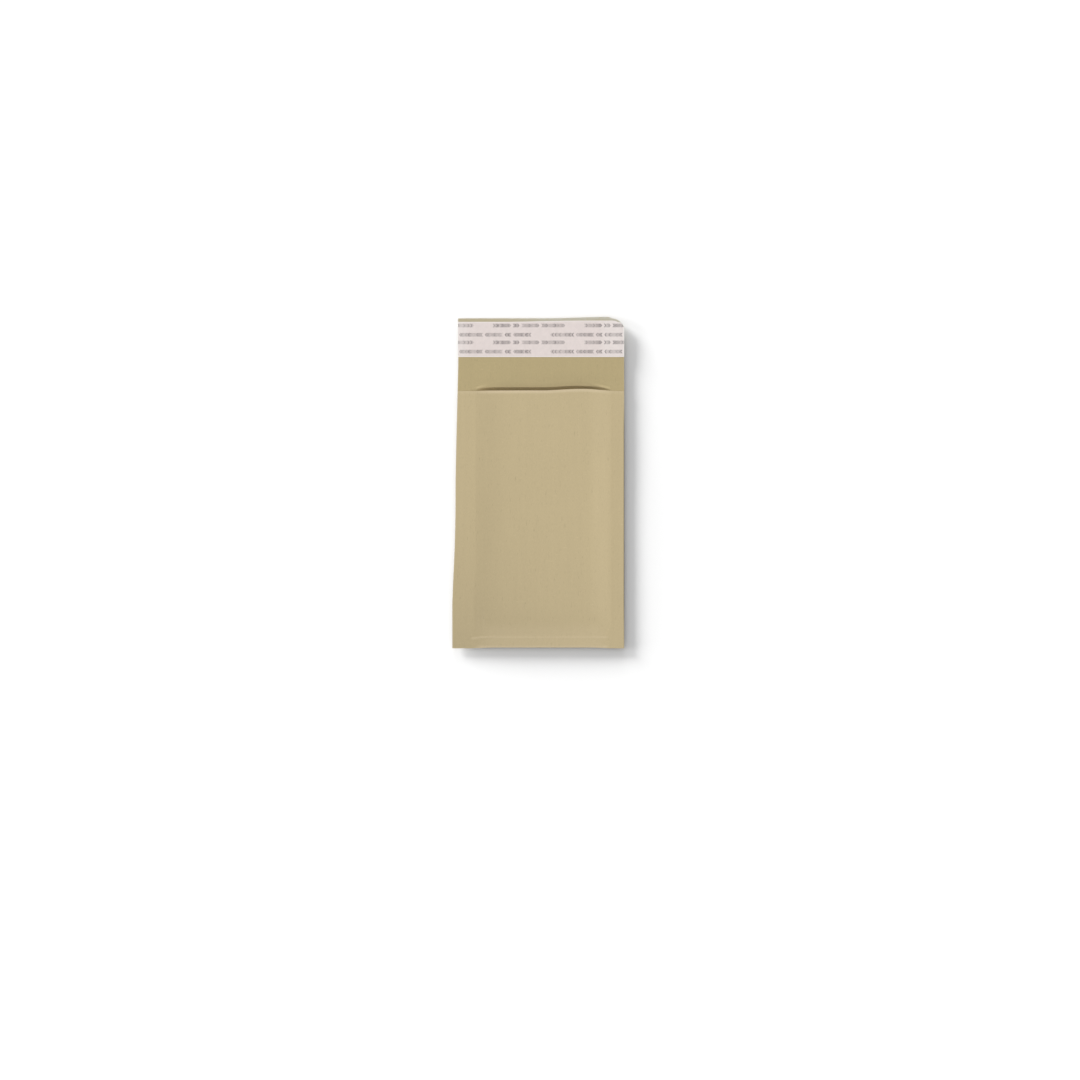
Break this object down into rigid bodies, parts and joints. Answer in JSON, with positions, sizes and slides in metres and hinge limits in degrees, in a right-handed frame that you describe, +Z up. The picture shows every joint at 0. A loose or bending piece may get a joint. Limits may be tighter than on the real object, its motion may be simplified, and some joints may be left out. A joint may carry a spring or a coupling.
{
  "type": "padded envelope",
  "caption": "Small kraft padded envelope lined with bubble film, lying flat with its flap open and the release liner still on.",
  "frame": {"origin": "on the table, under the middle of the envelope's whole length and width", "axes": "+X across the envelope to its right, +Y along it from the bottom fold to the flap's edge, +Z up out of the front panel"},
  "size_m": [0.1, 0.1924, 0.0076],
  "materials": {
    "kraft_paper": "matt, slightly fibrous",
    "bubble_film": "clear, glossy",
    "hot_melt": "tacky, pale amber",
    "liner_paper": "smooth silicone-coated paper"
  },
  "bodies": {
    "root": {"kraft_shell": "kraft_paper", "bubble_lining": "bubble_film", "adhesive_strip": "hot_melt", "release_liner": "liner_paper"}
  },
  "joints": []
}
